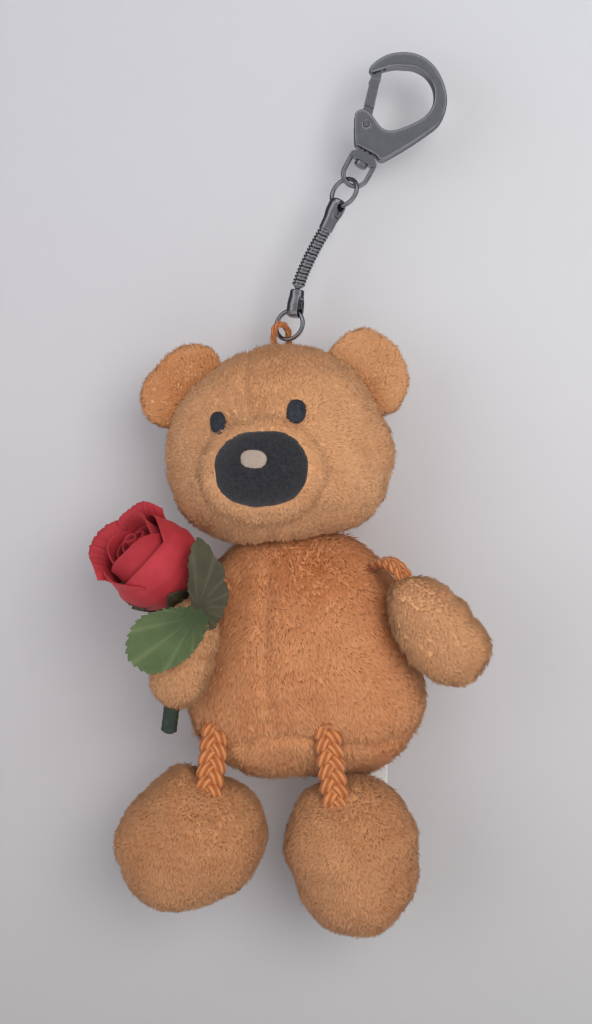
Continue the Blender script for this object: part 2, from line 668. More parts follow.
head_tone = tone([(-33, -70, 13, -0.12), (-15, -86, 12, 0.12), (-34, -104, 12, 0.32), (-46, -96, 9, 0.05), (-8, -92, 7, 0.18)])
pile("head_pile_front", V, F, N, int(19800 * FUR), head_lay, 2.05, M_FUR_HEAD, "head", "plush_head", side=-1, centre_y=HC[1] + 1.0, keep=head_keep, shade=head_tone, lift=21, width=0.34)
pile("head_pile_back", V, F, N, int(15000 * FUR), head_lay, 2.05, M_FUR_HEAD, "head", "plush_head", side=1, centre_y=HC[1] + 1.0, lift=21, width=0.36)


# ------------------------------------------------------------------ ears
def ear(side, c_px, table, node, cup_dir):
    C = px(c_px[0], c_px[1], -8.6)
    out = polar_deg(table, pk(-8.6), -1.0)

    def shape(V, D, s, th):
        cup = 2.5 * np.clip(1 - s ** 2, 0, 1)
        V[:, 1] += np.where(D[:, 1] < 0, cup, cup * 0.5)
        V += rows_unit(V - C) * (0.18 * lump(V, 5, 2))[:, None]
        return V
    V, F, UV = puff(34, C, out, 3.5, 3.3, shape)
    N = vertex_normals(V, F)
    rim = np.exp(-((V[:, 1] - C[1] - 0.2) / 0.45) ** 2)
    skin("ear_%s_cloth" % side, V, F, UV, rim * 0.2, M_CLOTH_HEAD, "head", "plush_head", node)

    def lay(P):
        d = P - C - np.array([0, 0, -6.0]) - cup_dir * 3
        d[:, 1] *= 0.4
        return d

    def deep(P):
        inner = C + cup_dir * 8.0
        return -0.9 * np.exp(-(np.linalg.norm(P - inner, axis=1) / 7.5) ** 2) - (0.35 if side == "right" else 0.12)
    pile("ear_%s_pile" % side, V, F, N, int(6500 * FUR), lay, 1.6, M_FUR_HEAD, "head", "plush_head", shade=deep)


ear("right", (180, 385), {0: 44, 20: 47, 40: 50, 50: 49, 60: 46.5, 70: 45, 80: 41, 90: 39.5, 100: 35, 110: 35.5, 120: 32.5, 130: 31.5, 140: 31.5, 150: 32.5, 160: 33.5, 170: 37, 180: 39, 190: 42, 200: 44, 210: 45.5, 220: 47.5, 230: 50.5, 250: 48, 270: 44, 300: 42, 330: 42}, "ear_right", unit((0.75, 0, -0.6)))
ear("left", (370, 372), {0: 39, 20: 37.5, 40: 38, 60: 37.5, 70: 39, 80: 42, 90: 44.5, 100: 48, 110: 47, 120: 47.5, 130: 47, 140: 46, 150: 47.5, 180: 46, 210: 44, 240: 44, 270: 46, 300: 49, 310: 47.5, 320: 45, 340: 44}, "ear_left", unit((-0.7, 0, -0.7)))


# ------------------------------------------------------------------ nose, highlight, eyes
def depth_at(x, z):
    """Front surface of the head cloth at a point."""
    m = (HEAD_V[:, 1] < HC[1])
    d = (HEAD_V[m, 0] - x) ** 2 + (HEAD_V[m, 2] - z) ** 2
    i = np.argsort(d)[:6]
    return float(HEAD_V[m, 1][i].mean())


def felt(name, centre, rx, rz, bulge, thick, tilt, mat, slot, node, follow, fuzz=0, top_flat=0.0):
    """Oval of felt, domed, its rim rolled under and sitting on the cloth or on the piece below."""
    D, F, UV = cube_sphere(40)
    s = np.hypot(D[:, 0], D[:, 2])
    th = np.arctan2(D[:, 2], D[:, 0])
    p = 2.35
    c, sn = np.cos(th), np.sin(th)
    r = 1 / (np.abs(c / rx) ** p + np.abs(sn / rz) ** p) ** (1 / p)
    r = r * (1 - top_flat * np.clip(sn, 0, 1) ** 3) * (1 + 0.008 * np.sin(7 * th + 1) + 0.006 * np.sin(13 * th))
    t = math.radians(tilt)
    X, Z = r * s * c, r * s * sn
    x = centre[0] + X * math.cos(t) - Z * math.sin(t)
    z = centre[2] + X * math.sin(t) + Z * math.cos(t)
    base = follow(x, z)
    q = np.abs(D[:, 1])
    y = base - np.where(D[:, 1] < 0, bulge * (1 - s ** 2) ** 0.9 + thick * q ** 0.55, -0.5 * q)
    V = np.stack([x, y, z], 1)
    V += rows_unit(V - V.mean(0)) * (0.035 * lump(V, 1.1, 0))[:, None]
    ob = make_mesh(name, V, F, UV)
    dress(ob, mat, "head", slot, node)
    if fuzz:
        N = vertex_normals(V, F)
        pile(name + "_fuzz", V, F, N, fuzz, lambda P: P - np.array(centre) - np.array([0, 3.0, 0]), 0.5, mat, "head", slot, width=0.09, lift=38, keep=lambda P: 1.0 * (P[:, 1] < base.mean() + 1.5), jitter=0.9, clump=1.2)
    return V


ny = depth_at(-33.6, -89.1)
nose_c = (-33.55, ny, -89.0)
head_front = HEAD_V[HEAD_V[:, 1] < HC[1]]


def follow_head(scale=1.0, floor=None):
    def f(x, z):
        out = np.empty(len(x))
        for i in range(0, len(x), 400):
            d = (head_front[None, :, 0] - x[i:i + 400, None]) ** 2 + (head_front[None, :, 2] - z[i:i + 400, None]) ** 2
            w = np.exp(-d / 0.5)
            out[i:i + 400] = (w * head_front[None, :, 1]).sum(1) / np.maximum(w.sum(1), 1e-12)
        return out
    return f


nose_V = felt("nose_felt", nose_c, 10.05, 8.3, 0.5, 1.5, 3.0, M_FELT, "felt_black", "nose_patch", lambda x, z: follow_head()(x, z) - 0.30 + 0.006 * ((x + 33.55) ** 2 + (z + 89) ** 2), fuzz=2600, top_flat=0.05)
nose_front = nose_V[:, 1].min()
nose_top = nose_V[nose_V[:, 1] < ny]


def follow_nose(x, z):
    out = np.empty(len(x))
    for i in range(0, len(x), 400):
        d = (nose_top[None, :, 0] - x[i:i + 400, None]) ** 2 + (nose_top[None, :, 2] - z[i:i + 400, None]) ** 2
        w = np.exp(-d / 0.3)
        out[i:i + 400] = (w * nose_top[None, :, 1]).sum(1) / np.maximum(w.sum(1), 1e-12)
    return out


hl = px(253.5, 459, float(nose_front))
felt("nose_highlight_felt", (hl[0], nose_front, hl[2]), 2.75, 1.95, 0.05, 0.28, -4.0, M_CREAM, "felt_cream", "nose_highlight", lambda x, z: follow_nose(x, z), fuzz=260)
for nm, c, rx, rz, tl, node in (("eye_left_felt", px(296.4, 412, -26), 2.1, 2.66, -6, "eye_left"), ("eye_right_felt", px(218.0, 423, -24.5), 1.75, 2.55, 8, "eye_right")):
    felt(nm, c, rx, rz, 0.45, 1.25, tl, M_EYE, "felt_black", node, lambda x, z: follow_head()(x, z) - 0.30, fuzz=160)

# ------------------------------------------------------------------ torso
TC = np.array([-24.0, -8.0, -131.0])
torso_pts = [(-44.9, -109.5), (-5.5, -109.5), (-48.5, -118.8), (-1.1, -118.8), (-50.8, -130.4), (2.4, -130.4), (-51.8, -137.0), (3.8, -137.0), (-51.5, -141.9), (4.5, -141.9), (-50.8, -147.0), (3.6, -147.0), (-48.6, -151.2), (1.2, -151.2), (-45.0, -155.6), (-3.0, -155.6), (-38.5, -158.9), (-9.0, -158.9), (-31, -159.7), (-17, -159.7), (-24, -159.9), (-37, -103.8), (-12, -103.8), (-24, -102.4)]
torso_out = polar_points((TC[0], TC[2]), torso_pts, -1.2)
LIMB_HOLES = [(-44.1, -146.3), (-19.3, -145.6)]


def torso_shape(V, D, s, th):
    z = V[:, 2]
    dep = np.interp(z, [-160, -150, -137, -119, -103], [14.2, 15.8, 16.2, 13.6, 11.5])
    V[:, 1] = TC[1] + D[:, 1] * dep
    V += rows_unit(V - TC) * (0.40 * lump(V, 10, 1) + 0.15 * lump(V, 4.5, 0))[:, None]
    return V


V, F, UV = puff(84, TC, torso_out, 15.0, 15.0, torso_shape)
N = vertex_normals(V, F)
sx = px(267, 600, -23)[0]
front_seam = [(sx + 0.4, -112), (sx, -119), (sx - 0.3, -130), (sx + 0.2, -142), (sx + 0.4, -146.8)]
gus = [(-54, -147.5), (-48, -149.4), (-41.5, -150.6), (-36, -149.6), (-31, -147.6), (-27, -147.9), (-22.5, -149.3), (-16, -150.4), (-8, -150.6), (0, -149.0), (6, -147.0)]
fr = V[:, 1] < TC[1]
line = near_line(V, front_seam, 0.55) * fr + near_line(V, gus, 0.55) * fr + np.exp(-((V[:, 1] - TC[1] - 1.5) / 0.5) ** 2) * (V[:, 2] > -148)
wide = near_line(V, front_seam, 1.5) * fr + near_line(V, gus, 1.5) * fr + np.exp(-((V[:, 1] - TC[1] - 1.5) / 1.2) ** 2) * (V[:, 2] > -148)
pucker = near_line(V, gus, 3.4) * fr * 0.16 * np.sin(V[:, 0] * 1.9) + near_line(V, front_seam, 3.0) * fr * 0.14 * np.sin(V[:, 2] * 1.7)
dimple = np.zeros(len(V))
for hx, hz in LIMB_HOLES:
    dimple += 0.8 * np.exp(-(((V[:, 0] - hx) / 3.4) ** 2 + ((V[:, 2] - hz + 3.2) / 2.4) ** 2)) * fr
V = V - N * (0.62 * np.clip(wide, 0, 1) + dimple)[:, None] + N * pucker[:, None]
N = vertex_normals(V, F)
skin("torso_cloth", V, F, UV, np.clip(line, 0, 1), M_CLOTH_BODY, "torso", "plush_body", "torso_back_panel", "torso_seat_gusset", "torso_front_left_panel", "torso_front_right_panel")


stuffing("torso_stuffing", V, F, N, 2.2, "torso", "torso_filling")


def torso_lay(P):
    d = np.zeros_like(P)
    d[:, 0] = (P[:, 0] - sx) * 0.035 + 0.45 * lump(P, 7.5, 2)
    d[:, 2] = -1.0 + 0.25 * lump(P, 9, 1)
    d[:, 1] = 0.1
    return d


def torso_keep(P):
    f = P[:, 1] < TC[1]
    return 1 - 0.8 * near_line(P, front_seam, 0.55) * f - 0.7 * near_line(P, gus, 0.5) * f


torso_tone = tone([(-22, -110, 11, -0.55), (-5, -122, 8, -0.15), (-22, -154.5, 9, 0.30), (-40, -154, 8, 0.18), (0, -144, 7, 0.25), (-46, -142, 7, 0.12)])
pile("torso_pile_front", V, F, N, int(19800 * FUR), torso_lay, 2.7, M_FUR_BODY, "torso", "plush_body", side=-1, centre_y=TC[1] + 1.0, keep=torso_keep, lift=20, clump=3.2, shade=torso_tone, width=0.35)
pile("torso_pile_back", V, F, N, int(15500 * FUR), torso_lay, 2.7, M_FUR_BODY, "torso", "plush_body", side=1, centre_y=TC[1] + 1.0, lift=20, clump=3.2, width=0.36)


# ------------------------------------------------------------------ feet
def foot(side, c_px, table, node, hx):
    C = px(c_px[0], c_px[1], -12.5)
    out = polar_deg(table, pk(-12.5), -1.15)

    def shape(V, D, s, th):
        V += rows_unit(V - C) * (0.35 * lump(V, 9, 2) + 0.14 * lump(V, 4, 0))[:, None]
        return V
    V, F, UV = puff(60, C, out, 13.2, 12.6, shape)
    N = vertex_normals(V, F)
    ring = np.exp(-((V[:, 1] - C[1] - 0.6) / 0.5) ** 2)
    wide = np.exp(-((V[:, 1] - C[1] - 0.6) / 1.2) ** 2)
    hole = 0.9 * np.exp(-(((V[:, 0] - hx) / 3.6) ** 2 + ((V[:, 2] + 164.2) / 2.6) ** 2)) * (V[:, 1] < C[1])
    V = V - N * (0.45 * wide + hole)[:, None]
    N = vertex_normals(V, F)
    skin("foot_%s_cloth" % side, V, F, UV, ring * 0.8, M_CLOTH_LIMB, "foot_" + side, "plush_limb", node)

    stuffing("foot_%s_stuffing" % side, V, F, N, 2.0, "foot_" + side, node.replace("skin", "filling"))

    def lay(P):
        d = np.zeros_like(P)
        d[:, 2] = -1.0
        d[:, 0] = (P[:, 0] - C[0]) * 0.05 + 0.3 * lump(P, 8, 0)
        d[:, 1] = 0.25
        return d
    pile("foot_%s_pile" % side, V, F, N, int(17500 * FUR), lay, 2.0, M_FUR_LIMB, "foot_" + side, "plush_limb", lift=27, shade=tone([(C[0] + 3, C[2] + 9, 8, -0.2), (C[0] - 4, C[2] - 11, 8, 0.15)]))


foot("right", (194, 838), {0: 77, 20: 78, 40: 78, 60: 73, 80: 70, 100: 76.5, 110: 74.5, 120: 72, 130: 72, 140: 73.5, 150: 75.5, 160: 77, 170: 78.5, 180: 80.5, 190: 80.5, 200: 81, 210: 82.5, 220: 84.5, 230: 81.5, 240: 80, 250: 77, 260: 73.5, 270: 70.5, 280: 69.5, 290: 67.5, 300: 67.5, 310: 71, 320: 70.5, 330: 71, 340: 71.5}, "foot_right_skin", -46.0)
foot("left", (352, 852), {0: 69, 10: 68.5, 20: 71.5, 30: 73, 40: 75, 50: 77.5, 60: 79, 90: 80, 110: 80, 130: 80, 150: 74, 170: 72.5, 180: 71, 190: 69, 200: 66.5, 210: 66.5, 220: 69.5, 230: 72, 240: 77.5, 250: 83, 260: 83.5, 270: 85, 280: 87.5, 290: 87.5, 300: 84.5, 310: 80, 320: 77.5, 330: 74, 340: 73.5, 350: 69.5}, "foot_left_skin", -17.0)


# ------------------------------------------------------------------ arms
def arm(side, C, out, front, back, node, lay_dir):
    def shape(V, D, s, th):
        V += rows_unit(V - C) * (0.30 * lump(V, 7, 1) + 0.12 * lump(V, 3.5, 0))[:, None]
        return V
    V, F, UV = puff(46, C, out, front, back, shape)
    N = vertex_normals(V, F)
    ring = np.exp(-((V[:, 1] - C[1]) / 0.45) ** 2)
    V = V - N * (0.40 * np.exp(-((V[:, 1] - C[1]) / 1.1) ** 2))[:, None]
    N = vertex_normals(V, F)
    skin("arm_%s_cloth" % side, V, F, UV, ring * 0.8, M_CLOTH_HEAD, "arm_" + side, "plush_limb", node)
    stuffing("arm_%s_stuffing" % side, V, F, N, 1.7, "arm_" + side, node.replace("skin", "filling"))
    d = unit(lay_dir)
    pile("arm_%s_pile" % side, V, F, N, int(8200 * FUR), lambda P: np.broadcast_to(d, P.shape) + 0.3 * np.stack([lump(P, 6, 0), lump(P, 6, 1), lump(P, 6, 2)], 1), 1.95, M_FUR_PAW, "arm_" + side, "plush_limb", lift=26)


AC = np.array([6.2, -22.0, -124.6])
arm("left", AC, polar_points((AC[0], AC[2]), [(-5.5, -113.0), (-2.0, -112.0), (1.1, -111.7), (5.0, -113.0), (8.7, -115.5), (13.8, -120.8), (16.6, -124.1), (18.2, -128.3), (16.6, -132.5), (11.3, -137.6), (4.9, -136.6), (1.1, -134.3), (-2.6, -130.5), (-5.5, -122.3), (-6.0, -116.1)], -1.1), 7.2, 7.0, "arm_left_skin", (0.6, 0.15, -0.8))
RC = np.array([-50.6, -22.4, -130.0])
arm("right", RC, polar_points((RC[0], RC[2]), [(-53.0, -142.3), (-56.8, -140.4), (-58.6, -136.4), (-58.2, -131.6), (-56.6, -126.0), (-52.6, -118.6), (-48.2, -116.4), (-44.2, -118.2), (-42.6, -123.6), (-43.4, -129.6), (-44.8, -135.2), (-46.4, -139.2), (-49.4, -142.0)], -1.0), 6.6, 6.4, "arm_right_skin", (-0.3, 0.15, -0.9))


# ------------------------------------------------------------------ braided cords
def braid(name, start, end, face, A, B, sw, st, period, body, node, taper=0.0, steps=150, arch=(0, 0, 0)):
    """Flat three-strand plait between two knots, each strand a bundle of wound plies."""
    start, end = np.asarray(start, float), np.asarray(end, float)
    L = np.linalg.norm(end - start)
    ax = (end - start) / L
    side = unit(np.cross(ax, face))
    out = np.cross(side, ax)
    t = np.linspace(0, 1, steps)
    parts = []
    for s in range(3):
        p = 2 * math.pi * (t * L / period + s / 3)
        sh = 1 - taper * np.clip((t - 0.72) / 0.28, 0, 1)
        P = start + np.array(arch, float) * (4 * t * (1 - t))[:, None] + ax * (t * L)[:, None] + side * (A * np.sin(p) * sh)[:, None] + out * (B * np.sin(2 * p + 0.0) * sh)[:, None]
        w = (1 - 0.55 * np.clip((0.05 - t) / 0.05, 0, 1)) * (1 - 0.55 * np.clip((t - 0.95) / 0.05, 0, 1))
        q = sweep(P, sw * w * sh, st * w * sh, side, m=24, ply=0.09, plies=6, twist=0.9, box=(s / 3, 0, s / 3 + 0.32, 1))
        tq = np.clip(((q[0] - start) @ ax) / L, 0, 1)
        rel = (q[0] - start - np.array(arch, float) * (4 * tq * (1 - tq))[:, None] - (tq * L)[:, None] * ax) @ out
        deep = np.clip(0.5 - rel / (B + st), 0, 1) ** 1.6
        parts.append(q + (deep,))
    for c, rr in ((start, 1.0), (end, 1.0)):
        D, Fq, Uq = cube_sphere(10)
        kn = c + D * (sw * 1.15) * (1 + 0.12 * np.sin(9 * np.arctan2(D[:, 2], D[:, 0]) + 6 * D[:, 1]))[:, None]
        parts.append((kn, Fq, Uq * 0.3, np.full(len(D), 0.3)))
    V, F, UV, A_ = join(parts)
    ob = make_mesh(name, V, F, UV, {"deep": A_})
    return dress(ob, M_CORD, body, "cord", node)


braid("leg_cord_right_braid", (-44.1, -15.6, -146.3), (-46.0, -20.0, -165.0), (0, -1, 0), 1.86, 0.6, 1.38, 0.86, 9.2, "hip_right", "leg_cord_right")
braid("leg_cord_left_braid", (-19.3, -20.6, -145.6), (-17.0, -19.6, -165.0), (0, -1, 0), 1.86, 0.6, 1.38, 0.86, 9.2, "hip_left", "leg_cord_left")
braid("arm_cord_left_braid", (-9.6, -11.5, -112.0), (-0.6, -21.6, -116.0), (0.1, -0.6, 0.8), 1.25, 0.5, 0.86, 0.62, 5.6, "shoulder_left", "arm_cord_left", arch=(0.3, -2.6, 4.0))
braid("arm_cord_right_braid", (-39.6, -11.5, -112.4), (-46.9, -21.8, -120.6), (-0.1, -0.6, 0.8), 1.25, 0.5, 0.86, 0.62, 5.6, "shoulder_right", "arm_cord_right")


def head_loop():
    b = math.radians(40)
    h = np.array([math.cos(b), math.sin(b), 0])
    LT, LB = np.array([-29.6, -0.4, -53.8]), np.array([-29.6, 0.8, -59.0])
    lv = unit(LT - LB)
    ll = np.linalg.norm(LT - LB)
    lw = 2.3
    K = np.array([-29.6, -4.6, -66.5])
    pts = [K - h, LB - lv * 1.5 - h * (lw - 0.35), LB - h * lw, LB + lv * (ll - lw) - h * lw]
    pts += [LB + lv * (ll - lw + lw * math.sin(a)) - h * lw * math.cos(a) for a in np.radians([30, 60, 90, 120, 150])]
    pts += [LB + lv * (ll - lw) + h * lw, LB + h * lw, LB - lv * 1.5 + h * (lw - 0.35), K + h]
    pts = np.array(pts)
    d = np.concatenate([[0], np.cumsum(np.linalg.norm(np.diff(pts, axis=0), axis=1))])
    t = np.linspace(0, d[-1], 220)
    P = np.stack([np.interp(t, d, pts[:, i]) for i in range(3)], 1)
    kk = np.exp(-0.5 * (np.arange(-9, 10) / 4.0) ** 2)
    kk /= kk.sum()
    Pp = np.concatenate([np.repeat(P[:1], 9, 0), P, np.repeat(P[-1:], 9, 0)])
    P = np.stack([np.convolve(Pp[:, i], kk, "valid") for i in range(3)], 1)
    T = rows_unit(np.gradient(P, axis=0))
    n0 = unit(np.cross(h, lv))
    Nn = np.broadcast_to(n0, P.shape)
    R = np.cross(T, Nn)
    parts = []
    for j in range(3):
        ph = 2 * math.pi * j / 3 + t * 0.9
        Q = P + (R * np.cos(ph)[:, None] + Nn * np.sin(ph)[:, None]) * 0.42
        q = sweep(Q, 0.42, 0.42, n0, m=10, ply=0.08, plies=3, twist=6.0, box=(j / 3, 0, j / 3 + 0.32, 1))
        parts.append(q + (np.zeros(len(q[0])),))
    D, Fq, Uq = cube_sphere(12)
    kn = np.array([-29.6, -4.9, -67.6]) + D * 2.0 * (1 + 0.1 * np.sin(7 * np.arctan2(D[:, 1], D[:, 0]) + 5 * D[:, 2]))[:, None]
    parts.append((kn, Fq, Uq * 0.3, np.full(len(D), 0.3)))
    V, F, UV, A = join(parts)
    dress(make_mesh("head_loop_braid", V, F, UV, {"deep": A}), M_CORD, NODES["head_loop_cord"]["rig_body"], "cord", "head_loop_cord")


head_loop()

# ------------------------------------------------------------------ snake chain
hinge = np.array([-25.69, 0.0, -45.05])
for i, tl in enumerate((19, 21, 23, 25, 26.3, 27.6, 28.9, 30, 31)):
    t = math.radians(tl)
    ax = np.array([math.sin(t), 0, math.cos(t)])
    sd = np.array([math.cos(t), 0, -math.sin(t)])
    fw = np.array([0, -1.0, 0])
    parts = []
    core = sweep(np.array([hinge + ax * s for s in np.linspace(0.02, 1.68, 5)]), 1.12, 1.05, sd, m=20, box=(0, 0, 0.1, 1))
    parts.append(core)
    for r in range(2):
        c = hinge + ax * (0.42 + 0.85 * r)
        m, kx = 40, 12
        ph = np.linspace(0, 2 * math.pi, m, endpoint=False)
        pr = np.linspace(0, 2 * math.pi, kx, endpoint=False)
        # each ridge is a saddle-bent band: it dips in front and rises at the sides
        big = np.stack([1.34 * np.cos(ph), 1.28 * np.sin(ph)], 1)
        lift_ = -0.30 * np.cos(2 * (ph - math.pi / 2)) + 0.14 * np.cos(ph)
        G = []
        for p in pr:
            rr = 1 + 0.17 * math.cos(p)
            G.append(c + sd * (big[:, :1] * rr) + fw * (big[:, 1:] * rr) + ax * ((lift_ + 0.30 * math.sin(p)))[:, None])
        G = np.array(G).reshape(-1, 3)
        q, uv = grid_uv(kx, m, True, (0.1 + 0.45 * r, 0, 0.5 + 0.45 * r, 0.9))
        last = np.stack([(kx - 1) * m + np.arange(m), (kx - 1) * m + (np.arange(m) + 1) % m, (np.arange(m) + 1) % m, np.arange(m)], -1)
        uvl = np.tile(np.array([[[0.1, 0.95]] * 4]), (m, 1, 1))
        parts.append((G, np.concatenate([q, last]), np.concatenate([uv, uvl])))
    V, F, UV, _ = join(parts)
    node = "chain_link_%02d" % (i + 1)
    dress(make_mesh("snake_%02d" % (i + 1), V, F, UV), M_GUN_CHAIN, NODES[node]["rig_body"], "gunmetal", node)
    hinge = hinge + ax * 1.70

# ------------------------------------------------------------------ rose
BC = np.array([-58.2, -17.0, -109.9])
BA = unit((-0.62, -0.45, 0.64))
E1 = unit(np.cross(BA, (0.0, 1.0, 0.0)))
E2 = np.cross(BA, E1)


def petal(a0, a1, t0, t1, prof, wave, flare, thick=0.32, nu=40, nv=56, box=(0, 0, 1, 1), twist=0.0, fringe=0.0, seed=0, drop=0.24):
    """One petal: a patch of a cup about the bud axis with a rolled, wavy lip."""
    u = np.linspace(0, 1, nu)[:, None] * np.ones((1, nv))
    v = np.ones((nu, 1)) * np.linspace(-1, 1, nv)[None, :]
    ang = np.radians((a0 + a1) / 2 + v * (a1 - a0) / 2 * (0.60 + 0.40 * np.sin(np.clip(u * 1.5, 0, 1) * math.pi / 2)) + twist * u)
    top = t1 - (t1 - t0) * drop * np.abs(v) ** 2.6 + wave * np.sin(3.1 * v + seed) + fringe * np.sin(34 * v + seed) * 0.5 + fringe * np.sin(57 * v + 2 * seed) * 0.5
    tt = t0 + (top - t0) * u
    r = prof(tt) + flare * np.clip((u - 0.72) / 0.28, 0, 1) ** 2 * (1 + 0.25 * np.sin(3.7 * v + seed * 2)) + 0.25 * np.clip(np.abs(v) - 0.8, 0, 1)
    P = BC + BA * tt.reshape(-1, 1) + E1 * (r * np.cos(ang)).reshape(-1, 1) + E2 * (r * np.sin(ang)).reshape(-1, 1)
    N = grid_normals(P, nu, nv)
    q = sheet(P, N, thick, nu, nv, box)
    deep = np.clip(0.9 - u * 1.6, 0, 1).reshape(-1) * 0.25
    return q + (np.concatenate([deep, deep]),)


def prof_outer(t):
    return np.interp(t, [-10.5, -9.6, -8, -6, -3, 0, 3, 6, 9, 12], [0.3, 3.5, 6.4, 8.3, 9.7, 10.1, 9.6, 8.3, 7.2, 7.4])


def prof_in(scale, lift=0.0):
    return lambda t: prof_outer(t + lift) * scale


outer = [
    petal(5, 187, -10.4, 5.0, lambda t: prof_outer(t) * 1.05, 0.25, -0.5, box=(0, 0, 0.32, 0.49), seed=1, drop=0.26),
    petal(112, 262, -10.3, 7.6, lambda t: prof_outer(t) * 1.01, 0.25, 0.1, box=(0.33, 0, 0.65, 0.49), seed=2, drop=0.28),
    petal(-48, 66, -10.2, 6.4, lambda t: prof_outer(t) * 1.00, 0.4, 1.3, box=(0.66, 0, 0.99, 0.49), seed=3, drop=0.26, fringe=0.10),
    petal(250, 362, -9.8, 10.2, lambda t: prof_outer(t) * 0.97, 0.4, 4.2, box=(0, 0.5, 0.32, 0.99), seed=4, drop=0.20, fringe=0.26),
    petal(196, 284, -9.6, 10.4, lambda t: prof_outer(t) * 0.94, 0.3, 2.8, box=(0.33, 0.5, 0.65, 0.99), seed=5, drop=0.20, fringe=0.16),
]
V, F, UV, A = join(outer)
dress(make_mesh("rose_petals_outer", V, F, UV, {"deep": A}), M_PETAL, "arm_right", "petal", "rose_outer_petals")
inner = [
    petal(0, 150, -7.5, 9.4, prof_in(0.78), 0.4, 0.8, box=(0, 0, 0.32, 0.49), seed=6),
    petal(125, 275, -7.5, 10.0, prof_in(0.74), 0.4, 0.7, box=(0.33, 0, 0.65, 0.49), seed=7),
    petal(245, 385, -7.5, 9.2, prof_in(0.70), 0.4, 0.6, box=(0.66, 0, 0.99, 0.49), seed=8),
]
V, F, UV, A = join(inner)
dress(make_mesh("rose_petals_inner", V, F, UV, {"deep": np.clip(A + 0.12, 0, 1)}), M_PETAL, "arm_right", "petal", "rose_inner_petals")
# heart: one long petal rolled into a spiral
nu, nv = 26, 150
u = np.linspace(0, 1, nu)[:, None] * np.ones((1, nv))
w = np.ones((nu, 1)) * np.linspace(0, 1, nv)[None, :]
an = w * math.radians(980) + 0.4
rr = (0.7 + 4.6 * w) * (0.72 + 0.42 * np.sin(u * math.pi * 0.62))
tt = -4 + u * (12.6 - 2.4 * w + 0.35 * np.sin(an * 1.7))
P = BC + BA * tt.reshape(-1, 1) + E1 * (rr * np.cos(an)).reshape(-1, 1) + E2 * (rr * np.sin(an)).reshape(-1, 1)
q = sheet(P, grid_normals(P, nu, nv), 0.26, nu, nv)
dp = (np.clip(0.85 - 0.8 * u, 0, 1) * 0.9 + 0.25 * (1 - w)).reshape(-1)
dress(make_mesh("rose_heart_spiral", q[0], q[1], q[2], {"deep": np.clip(np.concatenate([dp, dp]), 0, 1)}), M_PETAL, "arm_right", "petal", "rose_heart")

# calyx: cup with five pointed sepals
cal = []
for i in range(5):
    nu, nv = 22, 13
    u = np.linspace(0, 1, nu)[:, None] * np.ones((1, nv))
    v = np.ones((nu, 1)) * np.linspace(-1, 1, nv)[None, :]
    half = np.interp(u, [0, 0.25, 0.6, 0.9, 1], [36, 35, 24, 8, 0.6])
    an = np.radians(72 * i + 10 + v * half)
    tt = -13.0 + u * 9.6
    rr = np.interp(tt, [-13, -12.2, -11.2, -10.2, -8.4, -6.2, -3.4], [1.35, 1.9, 3.6, 5.4, 7.2, 8.9, 10.3]) + 0.4 * u ** 3
    P = BC + BA * tt.reshape(-1, 1) + E1 * (rr * np.cos(an)).reshape(-1, 1) + E2 * (rr * np.sin(an)).reshape(-1, 1)
    q = sheet(P, grid_normals(P, nu, nv), 0.34, nu, nv, (i / 5, 0, i / 5 + 0.19, 1))
    vein = np.tile((np.exp(-(v / 0.16) ** 2)).reshape(-1), 2) * 0.7
    cal.append(q + (vein,))
core = sweep(np.array([BC + BA * s for s in np.linspace(-13.2, -10.4, 6)]), np.array([1.3, 1.7, 2.6, 3.7, 4.4, 4.6]), np.array([1.3, 1.7, 2.6, 3.7, 4.4, 4.6]), E1, m=24)
cal.append(core + (np.zeros(len(core[0])),))
V, F, UV, A = join(cal)
dress(make_mesh("rose_calyx_sepals", V, F, UV, {"vein": A, "shade": np.zeros(len(V))}), M_LEAF_DARK, "arm_right", "leaf_dark", "rose_calyx")


